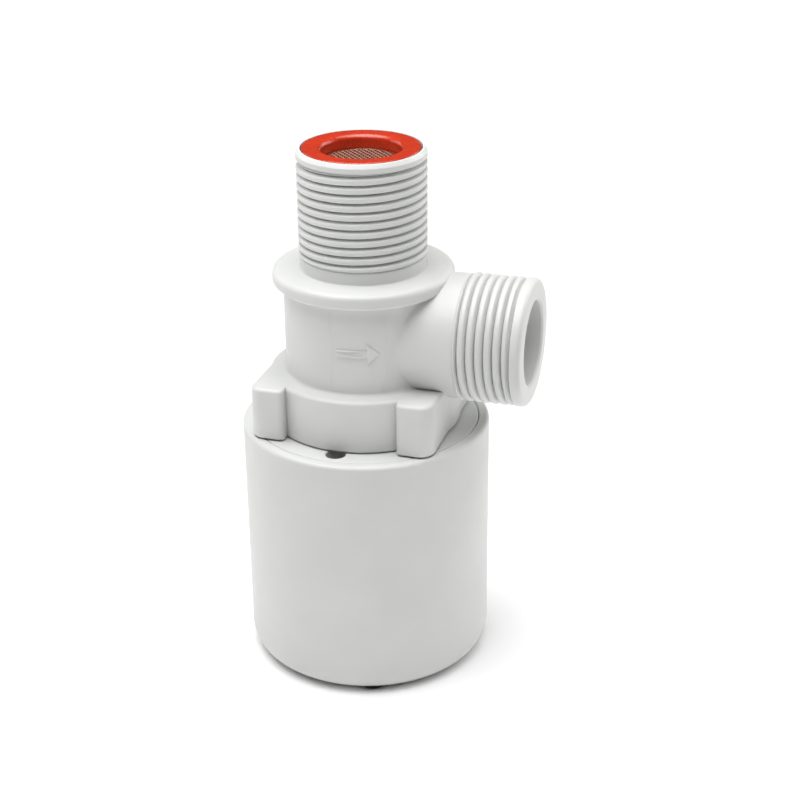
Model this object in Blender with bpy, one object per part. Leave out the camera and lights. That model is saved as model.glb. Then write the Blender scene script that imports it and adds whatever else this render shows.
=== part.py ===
"""Pilot-operated float valve with a float chamber, G 3/4 inlet on top and G 3/4 outlet at the side.

Frame: millimetre sizes below are scaled to metres. The origin is on the axis of the float chamber at its
flat underside, +Z runs up along the inlet and +X runs along the outlet.
The inlet water passes the strainer, the seat tube and the seat, and leaves through the side outlet. A piston
closes the seat from below. The room under the piston drains through the pilot nozzle into the float chamber,
where a float raises a lever whose rubber pad shuts that nozzle.
"""

import math

import bmesh
import bpy
from mathutils import Matrix, Vector

MM = 0.001

# Fits
GAP = 0.3                    # clearance between any two pieces that touch or run on each other

# G 3/4 pipe thread, on the inlet and on the outlet
THREAD_MAJOR_R = 13.22
THREAD_DEPTH = 1.16
THREAD_PITCH = 1.814
THREAD_CREST = 0.5           # width of the ridge at its crest
THREAD_FOOT = 1.45           # width of the ridge at its foot

# Float chamber
BUCKET_R = 26.2
BUCKET_H = 54.1
BUCKET_WALL = 2.8
BUCKET_FLOOR = 2.2
BUCKET_FILLET = 4.0
RIM_W = 2.0                  # width of the rim round the lid
RIM_ROUND = 0.8
FLOOR_RIB_W = 1.6

# Lid of the float chamber
LID_T = 2.2
LID_SPIGOT_T = 1.5
LID_SPIGOT_H = 2.4
LID_HOLE_R = 2.0
LID_HOLE_AT = 20.5
LID_HOLE_ANGLE = -90.0

# Drain check in the chamber's floor
DRAIN_AT = 20.7
DRAIN_ANGLE = -71.0
DRAIN_HEAD_R = 3.3
DRAIN_HEAD_T = 1.2
DRAIN_STEM_R = 1.1
DRAIN_HOLE_R = 1.7
DRAIN_TRAVEL = 0.6
DRAIN_SEAT_T = 1.6
DRAIN_BULB_R = 2.1
DRAIN_BULB_T = 0.9

# Valve body
SKIRT_R = 20.0
SKIRT_H = 11.1
SKIRT_WALL = 3.2
CHEEK_X = 19.5               # flat outer side of the skirt's two cheeks, from the valve axis
CHEEK_IN = 12.0              # inner side of each cheek, which ends as a lug at the front and the back
CHEEK_Y = 18.4               # half the length of the cheeks
CHEEK_CORNER = 3.0
EDGE_ROUND = 0.8
BARREL_R = 16.6
BARREL_WALL = 2.4
BARREL_H = 19.1
COLLAR_R = 18.8
COLLAR_T = 3.2
NECK_R = 13.0
NECK_H = 2.8
NIPPLE_H = 23.5              # collar to the strainer's seat in the end of the inlet
SEAT_DEPTH = 1.3             # strainer's seat below the end face of the inlet
INLET_BORE_R = 9.4
OUTLET_REACH = 36.0          # valve axis to the end face of the outlet
OUTLET_RISE = 8.8            # outlet axis above the top of the skirt
OUTLET_NECK_R = 12.9
OUTLET_NECK_END = 22.3
OUTLET_BAND = 2.1            # plain band at the end of the outlet
OUTLET_BORE_R = 8.7
ROOF_CLEAR = 0.4             # water chamber's roof above the outlet bore
ARROW_ANGLE = -77.0
ARROW_LENGTH = 7.3
ARROW_WIDTH = 3.8
ARROW_RELIEF = 0.35
INLET_THREAD_PHASE = -109.0

# Seat and piston
SEAT_BORE_R = 8.0
SEAT_TUBE_WALL = 2.2
SEAT_LIP = 0.9
SEAT_DROP = 2.3              # seat below the outlet axis
PISTON_TRAVEL = 4.0
PISTON_R = 12.2
PISTON_LEN = 8.0
PISTON_HEAD_T = 3.0
PISTON_WALL = 2.6
LIP_SEAL_W = 2.4
LIP_SEAL_DEPTH = 1.6
LIP_SEAL_LAND = 1.6
SEAL_R = 10.2
SEAL_T = 2.0
RETAINER_HEAD_R = 5.5
RETAINER_HEAD_T = 1.5
RETAINER_STEM_R = 2.7
BLEED_R = 1.0
BLEED_PIN_R = 0.5
BLEED_PIN_ROOT = 1.4
BLEED_PIN_ABOVE = 1.2        # bleed pin above the seal retainer at rest
SPRING_R = 7.4
SPRING_WIRE_R = 0.5
SPRING_TURNS = 4.5

# Lower cover
COVER_FLOOR_T = 2.6
LINER_WALL = 1.4
COVER_FLANGE_R = 18.3
COVER_FLANGE_T = 2.0
GASKET_T = 0.8
COVER_POCKET_R = 13.5
ORING_R = 0.8
COVER_TO_SKIRT_TOP = 4.5     # top of the cover's plug below the top of the skirt

# Pilot nozzle, lever and pad
PAD_YOKE_CLEAR = 1.8         # between the pad and the float's yoke
NOZZLE_BOSS_R = 3.0
NOZZLE_BOSS_H = 3.5
NOZZLE_R = 1.9
NOZZLE_FLANGE_R = 2.8
NOZZLE_FLANGE_T = 0.7
NOZZLE_TIP_R = 1.0
NOZZLE_TIP_H = 0.7
NOZZLE_BORE_R = 0.5
YOKE_X = 10.0                # the yoke's distance from the valve axis
HINGE_PIN_R = 0.9
EAR_T = 1.6
EAR_R = 2.2
LEVER_W = 5.0
LEVER_T = 2.0
LEVER_ARM = 19.0             # hinge to the float's yoke
LEVER_END = 2.5
PAD_R = 2.2
PAD_T = 1.2
PAD_STEM_R = 1.0
PAD_BUTTON_R = 1.7
PAD_BUTTON_T = 0.8

# Float
FLOAT_TRAVEL = 4.0
FLOAT_R = 21.3
FLOAT_H = 31.0
FLOAT_ROUND = 1.5
YOKE_T = 2.0
YOKE_LEG = 1.5
YOKE_BASE_T = 1.2
YOKE_FOOT = 3.5
YOKE_BAR = 1.0
WINDOW_CLEAR = 0.6
SCREW_R = 0.8
SCREW_HEAD_R = 1.5
SCREW_HEAD_T = 1.0
SCREW_LEN = 6.0

# Inlet strainer
STRAINER_FLANGE_R = 12.0
STRAINER_FLANGE_T = 1.1
STRAINER_MOUTH_R = 8.45
STRAINER_BORE_R = 8.0
STRAINER_LEDGE_R = 6.9
STRAINER_H = 8.4
MESH_DEPTH = 2.6
MESH_T = 0.4

# Heights that follow from the sizes above
LID_TOP = BUCKET_H
LID_UNDER = LID_TOP - LID_T
LID_R = BUCKET_R - RIM_W - GAP
REBATE_R = BUCKET_R - RIM_W
BUCKET_INNER_R = BUCKET_R - BUCKET_WALL
SKIRT_Z = LID_TOP + GAP
SKIRT_TOP = SKIRT_Z + SKIRT_H
COLLAR_Z = SKIRT_TOP + BARREL_H
COLLAR_TOP = COLLAR_Z + COLLAR_T
INLET_SEAT = COLLAR_TOP + NIPPLE_H
INLET_END = INLET_SEAT + SEAT_DEPTH
THREAD_ROOT_R = THREAD_MAJOR_R - THREAD_DEPTH
OUTLET_Z = SKIRT_TOP + OUTLET_RISE
SKIRT_BORE_R = SKIRT_R - SKIRT_WALL
BARREL_BORE_R = BARREL_R - BARREL_WALL
ROOF_Z = OUTLET_Z + OUTLET_BORE_R + ROOF_CLEAR
SEAT_TUBE_R = SEAT_BORE_R + SEAT_TUBE_WALL
SEAT_Z = OUTLET_Z - SEAT_DROP
PLUG_R = SKIRT_BORE_R - GAP
PLUG_TOP = SKIRT_TOP - COVER_TO_SKIRT_TOP
BODY_STEP_Z = PLUG_TOP + 2.0 * ORING_R + 2.0 * GAP + 0.1
LINER_R = BARREL_BORE_R - GAP
LINER_BORE_R = LINER_R - LINER_WALL
LINER_TOP = SEAT_Z - PISTON_TRAVEL
SEAL_TOP = SEAT_Z - GAP
PISTON_TOP = SEAL_TOP - SEAL_T - GAP
PISTON_Z = PISTON_TOP - PISTON_LEN
CHAMBER_Z = PISTON_Z - PISTON_TRAVEL - GAP
COVER_FLOOR_Z = CHAMBER_Z - COVER_FLOOR_T
FLANGE_TOP = LID_UNDER - 2.0 * GAP - GASKET_T
FLANGE_Z = FLANGE_TOP - COVER_FLANGE_T
NOZZLE_SHOULDER_Z = COVER_FLOOR_Z - NOZZLE_BOSS_H
NOZZLE_TIP_Z = NOZZLE_SHOULDER_Z - GAP - NOZZLE_FLANGE_T - NOZZLE_TIP_H
HINGE_X = YOKE_X - LEVER_ARM
NOZZLE_X = YOKE_X - YOKE_T / 2.0 - PAD_R - PAD_YOKE_CLEAR
HINGE_Z = NOZZLE_TIP_Z - 2.0 * GAP - PAD_T - LEVER_T / 2.0
LEVER_DROOP = FLOAT_TRAVEL / LEVER_ARM
WINDOW_Z = HINGE_Z - LEVER_ARM * math.tan(LEVER_DROOP)
DRAIN_HEAD_Z = 0.05
DRAIN_SEAT_Z = DRAIN_HEAD_Z + DRAIN_HEAD_T + DRAIN_TRAVEL + GAP
DRAIN_BOSS_TOP = DRAIN_SEAT_Z + DRAIN_SEAT_T
DRAIN_BULB_Z = DRAIN_BOSS_TOP + GAP
FLOAT_Z = DRAIN_BULB_Z + DRAIN_BULB_T + DRAIN_TRAVEL + GAP
FLOAT_TOP = FLOAT_Z + FLOAT_H
STRAINER_Z = INLET_SEAT + GAP
STRAINER_TOP = STRAINER_Z + STRAINER_FLANGE_T
MESH_TOP = STRAINER_TOP - MESH_DEPTH


def clear_scene():
    for obj in list(bpy.data.objects):
        bpy.data.objects.remove(obj, do_unlink=True)


def material(name, colour, roughness, metallic=0.0):
    mat = bpy.data.materials.get(name)
    if mat is None:
        mat = bpy.data.materials.new(name)
        mat.use_nodes = True
        shader = mat.node_tree.nodes["Principled BSDF"]
        shader.inputs["Base Color"].default_value = (*colour, 1.0)
        shader.inputs["Roughness"].default_value = roughness
        shader.inputs["Metallic"].default_value = metallic
        mat.diffuse_color = (*colour, 1.0)
    return mat


def white_plastic():
    return material("white_plastic", (0.80, 0.80, 0.79), 0.32)


def red_plastic():
    return material("red_plastic", (0.76, 0.06, 0.02), 0.35)


def black_rubber():
    return material("black_rubber", (0.025, 0.025, 0.025), 0.75)


def steel():
    return material("stainless_steel", (0.55, 0.55, 0.56), 0.3, 1.0)


def brass():
    return material("brass", (0.72, 0.50, 0.20), 0.3, 1.0)


def add_object(name, bm, mat=None):
    """Turn a bmesh into a scene object, with smooth shading broken at the sharp edges."""
    bmesh.ops.recalc_face_normals(bm, faces=bm.faces[:])
    mesh = bpy.data.meshes.new(name)
    bm.to_mesh(mesh)
    bm.free()
    mesh.shade_smooth()
    mesh.set_sharp_from_angle(angle=math.radians(32.0))
    if mat is not None:
        mesh.materials.append(mat)
    obj = bpy.data.objects.new(name, mesh)
    bpy.context.scene.collection.objects.link(obj)
    return obj


def round_corners(points, closed, steps=2):
    """Replace each (r, z, radius) corner by an arc; the radius is limited by the two sides it joins."""
    out = []
    count = len(points)
    for i, point in enumerate(points):
        here = Vector(point[:2])
        radius = point[2] if len(point) > 2 else 0.0
        if radius <= 0.0 or (not closed and i in (0, count - 1)):
            out.append(tuple(here))
            continue
        back = Vector(points[i - 1][:2]) - here
        ahead = Vector(points[(i + 1) % count][:2]) - here
        half = back.angle(ahead) / 2.0
        cut = min(radius / math.tan(half), 0.49 * min(back.length, ahead.length))
        arc_r = cut * math.tan(half)
        centre = here + (back.normalized() + ahead.normalized()).normalized() * (arc_r / math.sin(half))
        start = here + back.normalized() * cut - centre
        stop = here + ahead.normalized() * cut - centre
        sweep = math.atan2(start.x * stop.y - start.y * stop.x, start.dot(stop))
        for k in range(steps + 1):
            turn = sweep * k / steps
            x = start.x * math.cos(turn) - start.y * math.sin(turn)
            y = start.x * math.sin(turn) + start.y * math.cos(turn)
            out.append((centre.x + x, centre.y + y))
    return out


def lathe(name, points, mat=None, closed=False, segments=40, steps=2):
    """Spin a profile of (r, z) points round the Z axis; an open profile starts and ends on the axis."""
    outline = round_corners(points, closed, steps)
    bm = bmesh.new()
    verts = [bm.verts.new((r * MM, 0.0, z * MM)) for r, z in outline]
    pairs = list(zip(verts, verts[1:]))
    if closed:
        pairs.append((verts[-1], verts[0]))
    edges = [bm.edges.new(pair) for pair in pairs]
    bmesh.ops.spin(
        bm, geom=verts + edges, cent=(0, 0, 0), axis=(0, 0, 1), dvec=(0, 0, 0),
        angle=2.0 * math.pi, steps=segments, use_merge=True, use_duplicate=False,
    )
    bmesh.ops.remove_doubles(bm, verts=bm.verts[:], dist=1e-6)
    return add_object(name, bm, mat)


def disc(name, radius, low, high, mat=None, segments=32):
    return lathe(name, [(0, low), (radius, low), (radius, high), (0, high)], mat, False, segments)


def ring(name, inner, outer, low, high, mat=None, segments=32):
    loop = [(inner, low), (outer, low), (outer, high), (inner, high)]
    return lathe(name, loop, mat, True, segments)


def torus(name, centre_r, wire_r, height, mat=None, segments=32, sides=8):
    loop = []
    for k in range(sides):
        turn = 2.0 * math.pi * k / sides
        loop.append((centre_r + wire_r * math.cos(turn), height + wire_r * math.sin(turn)))
    return lathe(name, loop, mat, True, segments)


def box(name, low, high, mat=None, corner=0.0, top=0.0):
    """Upright block between two corners in millimetres, with rounded upright edges and top edges."""
    bm = bmesh.new()
    bmesh.ops.create_cube(bm, size=1.0)
    size = Vector(high) - Vector(low)
    middle = (Vector(high) + Vector(low)) / 2.0
    for v in bm.verts:
        v.co = Vector([(v.co[i] * size[i] + middle[i]) * MM for i in range(3)])
    if corner > 0.0:
        upright = [e for e in bm.edges if abs(e.verts[0].co.z - e.verts[1].co.z) > 1e-7]
        bmesh.ops.bevel(bm, geom=upright, offset=corner * MM, segments=3, profile=0.5, affect="EDGES")
    if top > 0.0:
        level = max(v.co.z for v in bm.verts)
        rim = [e for e in bm.edges if all(abs(v.co.z - level) < 1e-7 for v in e.verts)]
        bmesh.ops.bevel(bm, geom=rim, offset=top * MM, segments=3, profile=0.5, affect="EDGES")
    return add_object(name, bm, mat)


def transform(obj, matrix):
    """Move the mesh itself, so the object stays at the origin."""
    obj.data.transform(matrix)
    obj.data.update()
    return obj


def shift(obj, x=0.0, y=0.0, z=0.0):
    return transform(obj, Matrix.Translation((x * MM, y * MM, z * MM)))


def along_x(obj):
    """Turn a piece built along +Z so that it lies along +X."""
    return transform(obj, Matrix.Rotation(math.radians(90.0), 4, "Y"))


def along_y(obj):
    return transform(obj, Matrix.Rotation(math.radians(-90.0), 4, "X"))


def boolean(target, tool, operation):
    """Join or cut with an exact Boolean, keep the result as the target's mesh and drop the tool."""
    tool.hide_render = True
    tool.display_type = "WIRE"
    modifier = target.modifiers.new(operation.lower(), "BOOLEAN")
    modifier.operation = operation
    modifier.solver = "EXACT"
    modifier.object = tool
    graph = bpy.context.evaluated_depsgraph_get()
    mesh = bpy.data.meshes.new_from_object(target.evaluated_get(graph))
    target.modifiers.clear()
    target.data = mesh
    bpy.data.objects.remove(tool, do_unlink=True)
    bm = bmesh.new()
    bm.from_mesh(mesh)
    bmesh.ops.dissolve_degenerate(bm, edges=bm.edges[:], dist=2e-7)
    bm.to_mesh(mesh)
    bm.free()
    mesh.shade_smooth()
    mesh.set_sharp_from_angle(angle=math.radians(32.0))
    return target


def join(target, tool):
    return boolean(target, tool, "UNION")


def cut(target, tool):
    return boolean(target, tool, "DIFFERENCE")


def place_origin(obj, x, y, z):
    """Put the object's origin at a point of the frame without moving its shape."""
    point = Vector((x * MM, y * MM, z * MM))
    obj.data.transform(Matrix.Translation(-point))
    obj.location = point
    return obj


def threaded_rod(name, low, high, phase, per_turn=20):
    """Rod of the thread's root radius along +Z with a right-hand ridge that fades out at both ends.

    Each column of points is the rod's outline at one angle; a full turn moves the outline up by one pitch,
    so the last column meets the first one.
    """
    pitch = THREAD_PITCH
    outline = (
        (-THREAD_FOOT / 2.0, 0.0), (-THREAD_CREST / 2.0, THREAD_DEPTH),
        (THREAD_CREST / 2.0, THREAD_DEPTH), (THREAD_FOOT / 2.0, 0.0),
    )
    turns = math.ceil((high - low) / pitch) + 1
    bm = bmesh.new()
    columns = []
    for j in range(per_turn + 1):
        share = j / per_turn
        angle = 2.0 * math.pi * share + math.radians(phase)
        column = []
        for n in range(-2, turns + 1):
            for dz, rise in outline:
                z = low + pitch * (n + share) + dz
                fade = max(0.0, min(1.0, (z - low) / (0.5 * pitch), (high - z) / (0.5 * pitch)))
                z = max(low, min(high, z))
                r = THREAD_ROOT_R + rise * fade
                column.append(bm.verts.new((r * math.cos(angle) * MM, r * math.sin(angle) * MM, z * MM)))
        columns.append(column)
    for here, there in zip(columns, columns[1:]):
        for k in range(len(here) - 1):
            bm.faces.new((here[k], there[k], there[k + 1], here[k + 1]))
    bmesh.ops.remove_doubles(bm, verts=bm.verts[:], dist=2e-6)
    rims = [e for e in bm.edges if e.is_boundary]
    bmesh.ops.holes_fill(bm, edges=rims, sides=0)
    return add_object(name, bm)


def flow_arrow(name, radius, angle, height):
    """Raised arrow that follows the barrel's curve and points to the outlet."""
    half_l = ARROW_LENGTH / 2.0
    half_w = ARROW_WIDTH / 2.0
    neck = half_l - half_w
    shaft = half_w * 0.36
    stations = [-half_l, -half_l / 2.0, 0.0, neck - 0.01, neck, half_l]
    widths = [shaft, shaft, shaft, shaft, half_w, 0.05]
    bm = bmesh.new()
    layers = []
    for r in (radius - 0.8, radius + ARROW_RELIEF):
        rows = []
        for s, w in zip(stations, widths):
            turn = math.radians(angle) + s / radius
            x = r * math.cos(turn) * MM
            y = r * math.sin(turn) * MM
            rows.append((bm.verts.new((x, y, (height - w) * MM)), bm.verts.new((x, y, (height + w) * MM))))
        layers.append(rows)
    back, front = layers
    last = len(stations) - 1
    for i in range(last):
        bm.faces.new((front[i][0], front[i + 1][0], front[i + 1][1], front[i][1]))
        bm.faces.new((back[i][1], back[i + 1][1], back[i + 1][0], back[i][0]))
        bm.faces.new((back[i][0], back[i + 1][0], front[i + 1][0], front[i][0]))
        bm.faces.new((front[i][1], front[i + 1][1], back[i + 1][1], back[i][1]))
    bm.faces.new((back[0][1], back[0][0], front[0][0], front[0][1]))
    bm.faces.new((back[last][0], back[last][1], front[last][1], front[last][0]))
    return add_object(name, bm)


def build_valve_body():
    crest = THREAD_MAJOR_R
    root = THREAD_ROOT_R
    core = root - 0.5
    neck_z = COLLAR_TOP + NECK_H
    body = lathe("valve_body", [
        (0, SKIRT_Z),
        (SKIRT_R, SKIRT_Z),
        (SKIRT_R, SKIRT_TOP, EDGE_ROUND),
        (BARREL_R, SKIRT_TOP, EDGE_ROUND),
        (BARREL_R, COLLAR_Z),
        (COLLAR_R, COLLAR_Z, EDGE_ROUND),
        (COLLAR_R, COLLAR_TOP, 1.1),
        (NECK_R, COLLAR_TOP),
        (NECK_R, neck_z - 0.4),
        (root + 0.3, neck_z),
        (core, neck_z),
        (core, INLET_SEAT - 1.1),
        (crest, INLET_SEAT - 0.6),
        (crest, INLET_END - 0.8),
        (crest - 0.6, INLET_END),
        (0, INLET_END),
    ], white_plastic())
    side, end = CHEEK_X, CHEEK_Y
    cheeks = box("cheeks", (-side, -end, SKIRT_Z), (side, end, SKIRT_TOP), None, CHEEK_CORNER, EDGE_ROUND)
    between = box("between", (-CHEEK_IN, -end - 1.0, SKIRT_Z - 1.0), (CHEEK_IN, end + 1.0, SKIRT_TOP + 1.0))
    cut(cheeks, between)
    join(body, cheeks)
    reach = OUTLET_REACH
    branch = lathe("branch", [
        (0, 0),
        (OUTLET_NECK_R, 0),
        (OUTLET_NECK_R, OUTLET_NECK_END - 0.4),
        (root + 0.3, OUTLET_NECK_END),
        (core, OUTLET_NECK_END),
        (core, reach - OUTLET_BAND - 0.4),
        (crest, reach - OUTLET_BAND),
        (crest, reach - 0.5),
        (crest - 0.5, reach),
        (0, reach),
    ], None, False, 36)
    join(branch, threaded_rod("branch_thread", OUTLET_NECK_END - 0.7, reach - OUTLET_BAND, 0.0))
    along_x(branch)
    shift(branch, z=OUTLET_Z)
    join(body, branch)
    join(body, threaded_rod("inlet_thread", neck_z - 0.7, INLET_SEAT - 0.8, INLET_THREAD_PHASE))
    join(body, flow_arrow("arrow", BARREL_R, ARROW_ANGLE, OUTLET_Z + 1.0))
    waterway = lathe("waterway", [
        (0, SKIRT_Z - 1.0),
        (SKIRT_BORE_R, SKIRT_Z - 1.0),
        (SKIRT_BORE_R, BODY_STEP_Z),
        (BARREL_BORE_R, BODY_STEP_Z),
        (BARREL_BORE_R, ROOF_Z),
        (SEAT_TUBE_R, ROOF_Z),
        (SEAT_TUBE_R, SEAT_Z + 1.2),
        (SEAT_BORE_R + SEAT_LIP, SEAT_Z),
        (SEAT_BORE_R, SEAT_Z),
        (SEAT_BORE_R, ROOF_Z + 1.5),
        (INLET_BORE_R, ROOF_Z + 3.0),
        (INLET_BORE_R, INLET_SEAT),
        (STRAINER_FLANGE_R + GAP, INLET_SEAT),
        (STRAINER_FLANGE_R + GAP, INLET_END + 1.0),
        (0, INLET_END + 1.0),
    ], None, False, 32)
    cut(body, waterway)
    bore = disc("outlet_bore", OUTLET_BORE_R, SEAT_TUBE_R + 0.5, reach + 1.0)
    along_x(bore)
    shift(bore, z=OUTLET_Z)
    cut(body, bore)
    return body


def build_strainer():
    base = STRAINER_TOP - STRAINER_H
    lathe("inlet_strainer", [
        (STRAINER_FLANGE_R, STRAINER_Z),
        (STRAINER_FLANGE_R, STRAINER_TOP, 0.3),
        (STRAINER_MOUTH_R, STRAINER_TOP, 0.4),
        (STRAINER_BORE_R, STRAINER_TOP - 1.2),
        (STRAINER_BORE_R, MESH_TOP - MESH_T - GAP),
        (STRAINER_LEDGE_R, MESH_TOP - MESH_T - GAP),
        (STRAINER_LEDGE_R, base),
        (INLET_BORE_R - GAP, base),
        (INLET_BORE_R - GAP, STRAINER_Z),
    ], red_plastic(), True, 40)
    disc("strainer_mesh", STRAINER_BORE_R - GAP, MESH_TOP - MESH_T, MESH_TOP, steel())


def build_float_chamber():
    inner = BUCKET_INNER_R
    ledge = LID_UNDER - GAP
    bucket = lathe("float_bucket", [
        (0, 0),
        (BUCKET_R, 0, BUCKET_FILLET),
        (BUCKET_R, BUCKET_H, RIM_ROUND),
        (REBATE_R, BUCKET_H, 0.3),
        (REBATE_R, ledge),
        (inner, ledge),
        (inner, BUCKET_FLOOR, BUCKET_FILLET - 1.5),
        (0, BUCKET_FLOOR),
    ], white_plastic(), False, 48, 3)
    turn = math.radians(DRAIN_ANGLE)
    x = DRAIN_AT * math.cos(turn)
    y = DRAIN_AT * math.sin(turn)
    boss_r = DRAIN_HEAD_R + 4.0 * GAP
    join(bucket, shift(disc("drain_boss", boss_r, BUCKET_FLOOR - 0.3, DRAIN_BOSS_TOP, None, 24), x, y))
    rib_start = 5.0
    rib_end = FLOAT_R - FLOAT_ROUND
    for k in range(4):
        rib = box(
            "floor_rib", (rib_start, -FLOOR_RIB_W / 2.0, BUCKET_FLOOR - 0.5),
            (rib_end, FLOOR_RIB_W / 2.0, FLOAT_Z - GAP),
        )
        transform(rib, Matrix.Rotation(turn + math.radians(45.0 + 90.0 * k), 4, "Z"))
        join(bucket, rib)
    cut(bucket, shift(disc("drain_pocket", DRAIN_HEAD_R + GAP, -1.0, DRAIN_SEAT_Z, None, 24), x, y))
    cut(bucket, shift(disc("drain_hole", DRAIN_HOLE_R, 0.5, DRAIN_BOSS_TOP + 1.0, None, 16), x, y))

    lid = lathe("bucket_lid", [
        (SKIRT_BORE_R, LID_UNDER),
        (LID_R - LID_SPIGOT_T - GAP - 0.5, LID_UNDER),
        (inner - GAP - LID_SPIGOT_T, LID_UNDER - LID_SPIGOT_H),
        (inner - GAP, LID_UNDER - LID_SPIGOT_H),
        (inner - GAP, LID_UNDER),
        (LID_R, LID_UNDER),
        (LID_R, LID_TOP, 0.3),
        (SKIRT_BORE_R, LID_TOP),
    ], white_plastic(), True, 40)
    turn = math.radians(LID_HOLE_ANGLE)
    hole = disc("lid_hole", LID_HOLE_R, LID_UNDER - LID_SPIGOT_H - 1.0, LID_TOP + 1.0, None, 24)
    cut(lid, shift(hole, LID_HOLE_AT * math.cos(turn), LID_HOLE_AT * math.sin(turn)))

    check = lathe("drain_check", [
        (0, DRAIN_HEAD_Z),
        (DRAIN_HEAD_R, DRAIN_HEAD_Z, 0.3),
        (DRAIN_HEAD_R, DRAIN_HEAD_Z + DRAIN_HEAD_T),
        (DRAIN_STEM_R, DRAIN_HEAD_Z + DRAIN_HEAD_T),
        (DRAIN_STEM_R, DRAIN_BULB_Z),
        (DRAIN_BULB_R, DRAIN_BULB_Z),
        (DRAIN_BULB_R, DRAIN_BULB_Z + DRAIN_BULB_T, 0.4),
        (0, DRAIN_BULB_Z + DRAIN_BULB_T),
    ], black_rubber(), False, 24)
    check.location = (x * MM, y * MM, 0.0)


def build_lower_cover():
    cover = lathe("lower_cover", [
        (0, COVER_FLOOR_Z),
        (COVER_POCKET_R, COVER_FLOOR_Z),
        (COVER_POCKET_R, FLANGE_Z),
        (COVER_FLANGE_R, FLANGE_Z),
        (COVER_FLANGE_R, FLANGE_TOP),
        (PLUG_R, FLANGE_TOP),
        (PLUG_R, PLUG_TOP),
        (LINER_R, PLUG_TOP),
        (LINER_R, LINER_TOP),
        (LINER_BORE_R, LINER_TOP),
        (LINER_BORE_R, CHAMBER_Z),
        (0, CHAMBER_Z),
    ], white_plastic(), False, 36)
    boss = disc("nozzle_boss", NOZZLE_BOSS_R, NOZZLE_SHOULDER_Z, COVER_FLOOR_Z + 0.5, None, 20)
    join(cover, shift(boss, NOZZLE_X))
    inside = LEVER_W / 2.0 + GAP
    for side in (-1.0, 1.0):
        ear = disc("ear_eye", EAR_R, inside, inside + EAR_T, None, 16)
        along_y(ear)
        if side < 0:
            shift(ear, y=-2.0 * inside - EAR_T)
        shift(ear, HINGE_X, 0.0, HINGE_Z)
        low_y = min(side * inside, side * (inside + EAR_T))
        web = box(
            "ear_web", (HINGE_X - EAR_R, low_y, HINGE_Z),
            (HINGE_X + EAR_R, low_y + EAR_T, COVER_FLOOR_Z + 0.5),
        )
        join(ear, web)
        join(cover, ear)
    pin_hole = disc("pin_hole", HINGE_PIN_R + GAP, -20.0, 20.0, None, 16)
    along_y(pin_hole)
    span = inside + EAR_T + 1.0
    pin_hole.data.transform(Matrix.Diagonal((1.0, span / 20.0, 1.0, 1.0)))
    cut(cover, shift(pin_hole, HINGE_X, 0.0, HINGE_Z))
    cut(cover, shift(disc("nozzle_hole", NOZZLE_R + GAP, NOZZLE_SHOULDER_Z - 1.0, CHAMBER_Z + 1.0, None, 20),
                     NOZZLE_X))
    cut(cover, disc("bleed_pin_seat", BLEED_PIN_R + GAP, CHAMBER_Z - BLEED_PIN_ROOT, CHAMBER_Z + 1.0, None, 16))
    ring("lid_gasket", SKIRT_BORE_R, COVER_FLANGE_R - GAP, FLANGE_TOP + GAP, LID_UNDER - GAP, black_rubber(), 32)
    middle = (LINER_R + SKIRT_BORE_R) / 2.0
    torus("cover_o_ring", middle, ORING_R, (PLUG_TOP + BODY_STEP_Z) / 2.0, black_rubber())
    pin_top = PISTON_TOP + GAP + SEAL_T + GAP + RETAINER_HEAD_T + BLEED_PIN_ABOVE
    disc("bleed_pin", BLEED_PIN_R, CHAMBER_Z - BLEED_PIN_ROOT + GAP, pin_top, steel(), 12)
    lathe("pilot_nozzle", [
        (NOZZLE_BORE_R, NOZZLE_TIP_Z),
        (NOZZLE_TIP_R, NOZZLE_TIP_Z),
        (NOZZLE_TIP_R + 0.3, NOZZLE_TIP_Z + NOZZLE_TIP_H),
        (NOZZLE_FLANGE_R, NOZZLE_TIP_Z + NOZZLE_TIP_H),
        (NOZZLE_FLANGE_R, NOZZLE_SHOULDER_Z - GAP),
        (NOZZLE_R, NOZZLE_SHOULDER_Z - GAP),
        (NOZZLE_R, CHAMBER_Z - GAP),
        (NOZZLE_BORE_R, CHAMBER_Z - GAP),
    ], brass(), True, 24)
    shift(bpy.data.objects["pilot_nozzle"], NOZZLE_X)


def build_piston():
    skirt_r = PISTON_R - PISTON_WALL
    groove_z = PISTON_Z + LIP_SEAL_LAND
    groove_r = PISTON_R - LIP_SEAL_DEPTH
    hole_r = RETAINER_STEM_R + GAP
    lathe("piston", [
        (hole_r, PISTON_TOP),
        (PISTON_R, PISTON_TOP, 0.4),
        (PISTON_R, groove_z + LIP_SEAL_W),
        (groove_r, groove_z + LIP_SEAL_W),
        (groove_r, groove_z),
        (PISTON_R, groove_z),
        (PISTON_R, PISTON_Z),
        (skirt_r, PISTON_Z),
        (skirt_r, PISTON_TOP - PISTON_HEAD_T),
        (hole_r, PISTON_TOP - PISTON_HEAD_T),
    ], white_plastic(), True, 32)
    ring("piston_lip_seal", groove_r + GAP, PISTON_R, groove_z + GAP, groove_z + LIP_SEAL_W - GAP, black_rubber())
    ring("main_seal", hole_r, SEAL_R, PISTON_TOP + GAP, SEAL_TOP, black_rubber(), 32)
    head_z = SEAL_TOP + GAP
    lathe("seal_retainer", [
        (BLEED_R, PISTON_TOP - PISTON_HEAD_T),
        (RETAINER_STEM_R, PISTON_TOP - PISTON_HEAD_T),
        (RETAINER_STEM_R, head_z),
        (RETAINER_HEAD_R, head_z),
        (RETAINER_HEAD_R, head_z + RETAINER_HEAD_T, 0.5),
        (BLEED_R, head_z + RETAINER_HEAD_T),
    ], brass(), True, 24)
    for name in ("piston", "piston_lip_seal", "main_seal", "seal_retainer"):
        place_origin(bpy.data.objects[name], 0.0, 0.0, PISTON_Z)


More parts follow.
